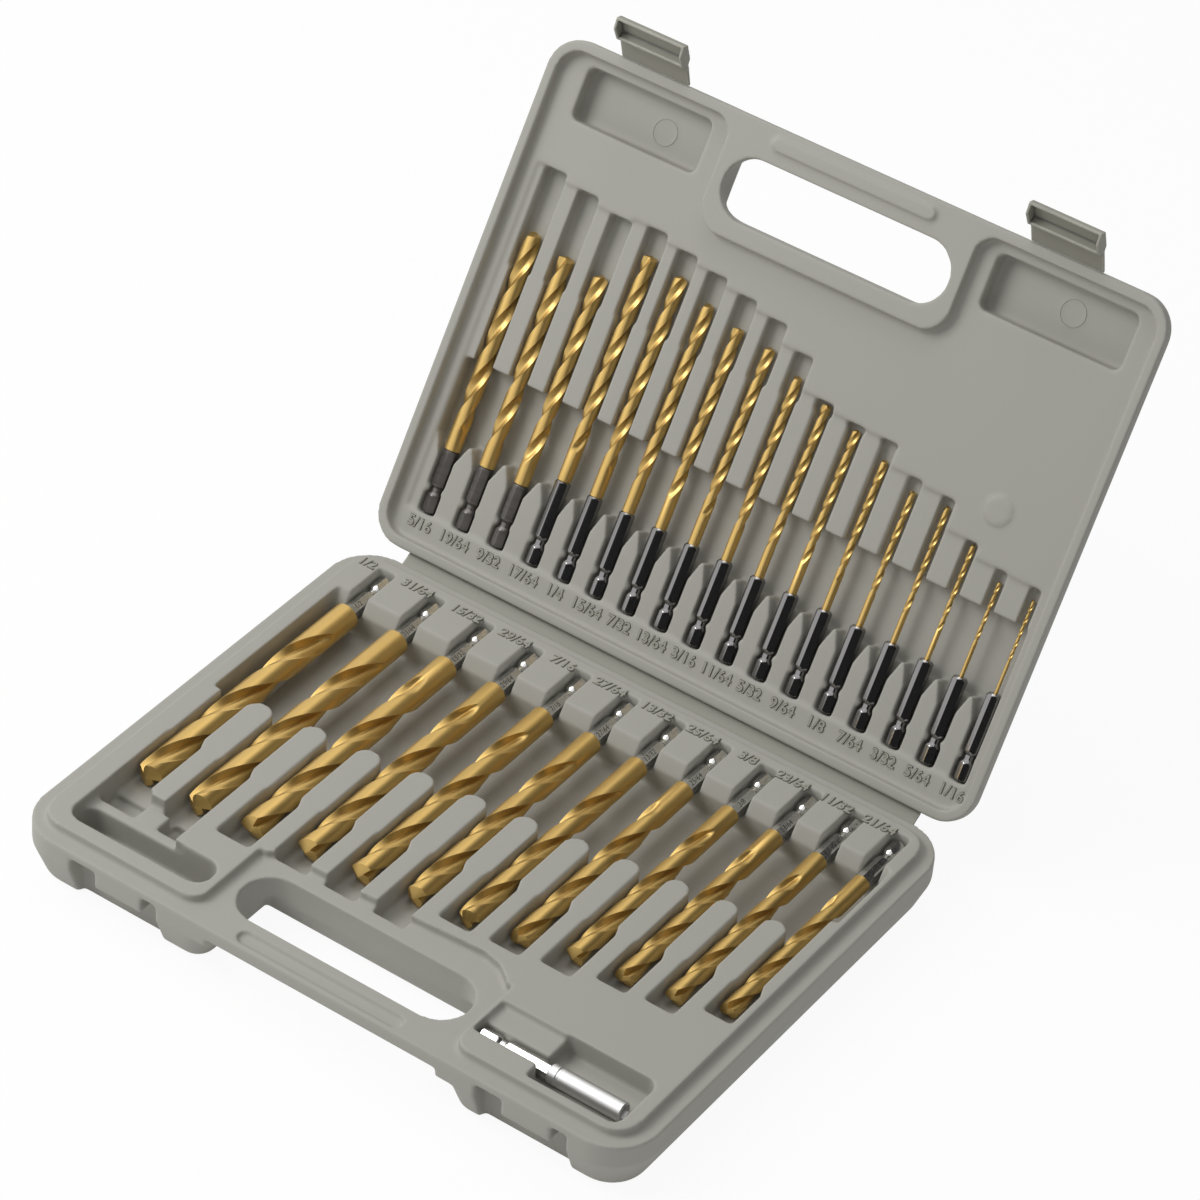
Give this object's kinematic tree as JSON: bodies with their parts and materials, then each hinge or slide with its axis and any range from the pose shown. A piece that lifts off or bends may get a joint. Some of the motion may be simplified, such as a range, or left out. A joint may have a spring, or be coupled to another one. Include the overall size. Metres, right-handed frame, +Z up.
{
  "type": "drill bit case",
  "caption": "Grey blow-moulded carrying case, open on its hinges, with gold twist drills and hex shank bits in moulded slots, a grip opening and snap latches.",
  "frame": {"origin": "middle of the base half's underside, which stands on the table", "axes": "+X along the hinge to the right as seen from the grip side, +Y from the grip to the hinge, +Z up out of the base tray"},
  "size_m": [0.319, 0.3932, 0.2631],
  "materials": {
    "case_plastic": "warm grey blow-moulded plastic",
    "hinge_plastic": "warm grey plastic, thin",
    "coated_steel": "gold titanium nitride coating",
    "dark_steel": "dark polished steel",
    "satin_steel": "satin steel",
    "magnet": "nickel plated"
  },
  "bodies": {
    "base": {"base_shell": "case_plastic"},
    "strip": {"hinge_strip": "hinge_plastic"},
    "lid": {"lid_shell": "case_plastic"},
    "left_latch": {"left_latch": "hinge_plastic"},
    "right_latch": {"right_latch": "hinge_plastic"},
    "bit_32": {"drill_32_64": "coated_steel"},
    "bit_31": {"drill_31_64": "coated_steel"},
    "bit_30": {"drill_30_64": "coated_steel"},
    "bit_29": {"drill_29_64": "coated_steel"},
    "bit_28": {"drill_28_64": "coated_steel"},
    "bit_27": {"drill_27_64": "coated_steel"},
    "bit_26": {"drill_26_64": "coated_steel"},
    "bit_25": {"drill_25_64": "coated_steel"},
    "bit_24": {"drill_24_64": "coated_steel"},
    "bit_23": {"drill_23_64": "coated_steel"},
    "bit_22": {"drill_22_64": "coated_steel"},
    "bit_21": {"drill_21_64": "coated_steel"},
    "bit_20": {"drill_20_64": "coated_steel", "shank_20_64": "dark_steel"},
    "bit_19": {"drill_19_64": "coated_steel", "shank_19_64": "dark_steel"},
    "bit_18": {"drill_18_64": "coated_steel", "shank_18_64": "dark_steel"},
    "bit_17": {"drill_17_64": "coated_steel", "shank_17_64": "dark_steel"},
    "bit_16": {"drill_16_64": "coated_steel", "shank_16_64": "dark_steel"},
    "bit_15": {"drill_15_64": "coated_steel", "shank_15_64": "dark_steel"},
    "bit_14": {"drill_14_64": "coated_steel", "shank_14_64": "dark_steel"},
    "bit_13": {"drill_13_64": "coated_steel", "shank_13_64": "dark_steel"},
    "bit_12": {"drill_12_64": "coated_steel", "shank_12_64": "dark_steel"},
    "bit_11": {"drill_11_64": "coated_steel", "shank_11_64": "dark_steel"},
    "bit_10": {"drill_10_64": "coated_steel", "shank_10_64": "dark_steel"},
    "bit_09": {"drill_09_64": "coated_steel", "shank_09_64": "dark_steel"},
    "bit_08": {"drill_08_64": "coated_steel", "shank_08_64": "dark_steel"},
    "bit_07": {"drill_07_64": "coated_steel", "shank_07_64": "dark_steel"},
    "bit_06": {"drill_06_64": "coated_steel", "shank_06_64": "dark_steel"},
    "bit_05": {"drill_05_64": "coated_steel", "shank_05_64": "dark_steel"},
    "bit_04": {"drill_04_64": "coated_steel", "shank_04_64": "dark_steel"},
    "holder": {"holder_shank": "satin_steel", "holder_sleeve": "satin_steel", "holder_magnet": "magnet"}
  },
  "joints": [
    {"name": "base_fold", "type": "hinge", "parent": "base", "child": "strip", "pos_m": [0, 0.1229, 0.0245], "axis": [-1, 0, 0], "range_deg": [-60.65, 29.35]},
    {"name": "lid_fold", "type": "hinge", "parent": "strip", "child": "lid", "pos_m": [0, 0.12926, 0.02808], "axis": [-1, 0, 0], "range_deg": [-60.65, 29.35]},
    {"name": "left_latch_fold", "type": "hinge", "parent": "lid", "child": "left_latch", "pos_m": [-0.1083, 0.2549, 0.23953], "axis": [1, 0, 0], "range_deg": [-62, 32.5]},
    {"name": "right_latch_fold", "type": "hinge", "parent": "lid", "child": "right_latch", "pos_m": [0.1043, 0.2549, 0.23953], "axis": [1, 0, 0], "range_deg": [-62, 32.5]},
    {"name": "lift_32", "type": "slide", "parent": "base", "child": "bit_32", "axis": [0, 0, 1], "range_m": [0, 0.03]},
    {"name": "lift_31", "type": "slide", "parent": "base", "child": "bit_31", "axis": [0, 0, 1], "range_m": [0, 0.03]},
    {"name": "lift_30", "type": "slide", "parent": "base", "child": "bit_30", "axis": [0, 0, 1], "range_m": [0, 0.03]},
    {"name": "lift_29", "type": "slide", "parent": "base", "child": "bit_29", "axis": [0, 0, 1], "range_m": [0, 0.03]},
    {"name": "lift_28", "type": "slide", "parent": "base", "child": "bit_28", "axis": [0, 0, 1], "range_m": [0, 0.03]},
    {"name": "lift_27", "type": "slide", "parent": "base", "child": "bit_27", "axis": [0, 0, 1], "range_m": [0, 0.03]},
    {"name": "lift_26", "type": "slide", "parent": "base", "child": "bit_26", "axis": [0, 0, 1], "range_m": [0, 0.03]},
    {"name": "lift_25", "type": "slide", "parent": "base", "child": "bit_25", "axis": [0, 0, 1], "range_m": [0, 0.03]},
    {"name": "lift_24", "type": "slide", "parent": "base", "child": "bit_24", "axis": [0, 0, 1], "range_m": [0, 0.03]},
    {"name": "lift_23", "type": "slide", "parent": "base", "child": "bit_23", "axis": [0, 0, 1], "range_m": [0, 0.03]},
    {"name": "lift_22", "type": "slide", "parent": "base", "child": "bit_22", "axis": [0, 0, 1], "range_m": [0, 0.03]},
    {"name": "lift_21", "type": "slide", "parent": "base", "child": "bit_21", "axis": [0, 0, 1], "range_m": [0, 0.03]},
    {"name": "lift_20", "type": "slide", "parent": "lid", "child": "bit_20", "axis": [0, -0.8545, 0.5195], "range_m": [0, 0.03]},
    {"name": "lift_19", "type": "slide", "parent": "lid", "child": "bit_19", "axis": [0, -0.8545, 0.5195], "range_m": [0, 0.03]},
    {"name": "lift_18", "type": "slide", "parent": "lid", "child": "bit_18", "axis": [0, -0.8545, 0.5195], "range_m": [0, 0.03]},
    {"name": "lift_17", "type": "slide", "parent": "lid", "child": "bit_17", "axis": [0, -0.8545, 0.5195], "range_m": [0, 0.03]},
    {"name": "lift_16", "type": "slide", "parent": "lid", "child": "bit_16", "axis": [0, -0.8545, 0.5195], "range_m": [0, 0.03]},
    {"name": "lift_15", "type": "slide", "parent": "lid", "child": "bit_15", "axis": [0, -0.8545, 0.5195], "range_m": [0, 0.03]},
    {"name": "lift_14", "type": "slide", "parent": "lid", "child": "bit_14", "axis": [0, -0.8545, 0.5195], "range_m": [0, 0.03]},
    {"name": "lift_13", "type": "slide", "parent": "lid", "child": "bit_13", "axis": [0, -0.8545, 0.5195], "range_m": [0, 0.03]},
    {"name": "lift_12", "type": "slide", "parent": "lid", "child": "bit_12", "axis": [0, -0.8545, 0.5195], "range_m": [0, 0.03]},
    {"name": "lift_11", "type": "slide", "parent": "lid", "child": "bit_11", "axis": [0, -0.8545, 0.5195], "range_m": [0, 0.03]},
    {"name": "lift_10", "type": "slide", "parent": "lid", "child": "bit_10", "axis": [0, -0.8545, 0.5195], "range_m": [0, 0.03]},
    {"name": "lift_09", "type": "slide", "parent": "lid", "child": "bit_09", "axis": [0, -0.8545, 0.5195], "range_m": [0, 0.03]},
    {"name": "lift_08", "type": "slide", "parent": "lid", "child": "bit_08", "axis": [0, -0.8545, 0.5195], "range_m": [0, 0.03]},
    {"name": "lift_07", "type": "slide", "parent": "lid", "child": "bit_07", "axis": [0, -0.8545, 0.5195], "range_m": [0, 0.03]},
    {"name": "lift_06", "type": "slide", "parent": "lid", "child": "bit_06", "axis": [0, -0.8545, 0.5195], "range_m": [0, 0.03]},
    {"name": "lift_05", "type": "slide", "parent": "lid", "child": "bit_05", "axis": [0, -0.8545, 0.5195], "range_m": [0, 0.03]},
    {"name": "lift_04", "type": "slide", "parent": "lid", "child": "bit_04", "axis": [0, -0.8545, 0.5195], "range_m": [0, 0.03]},
    {"name": "lift_holder", "type": "slide", "parent": "base", "child": "holder", "axis": [0, 0, 1], "range_m": [0, 0.03]}
  ]
}
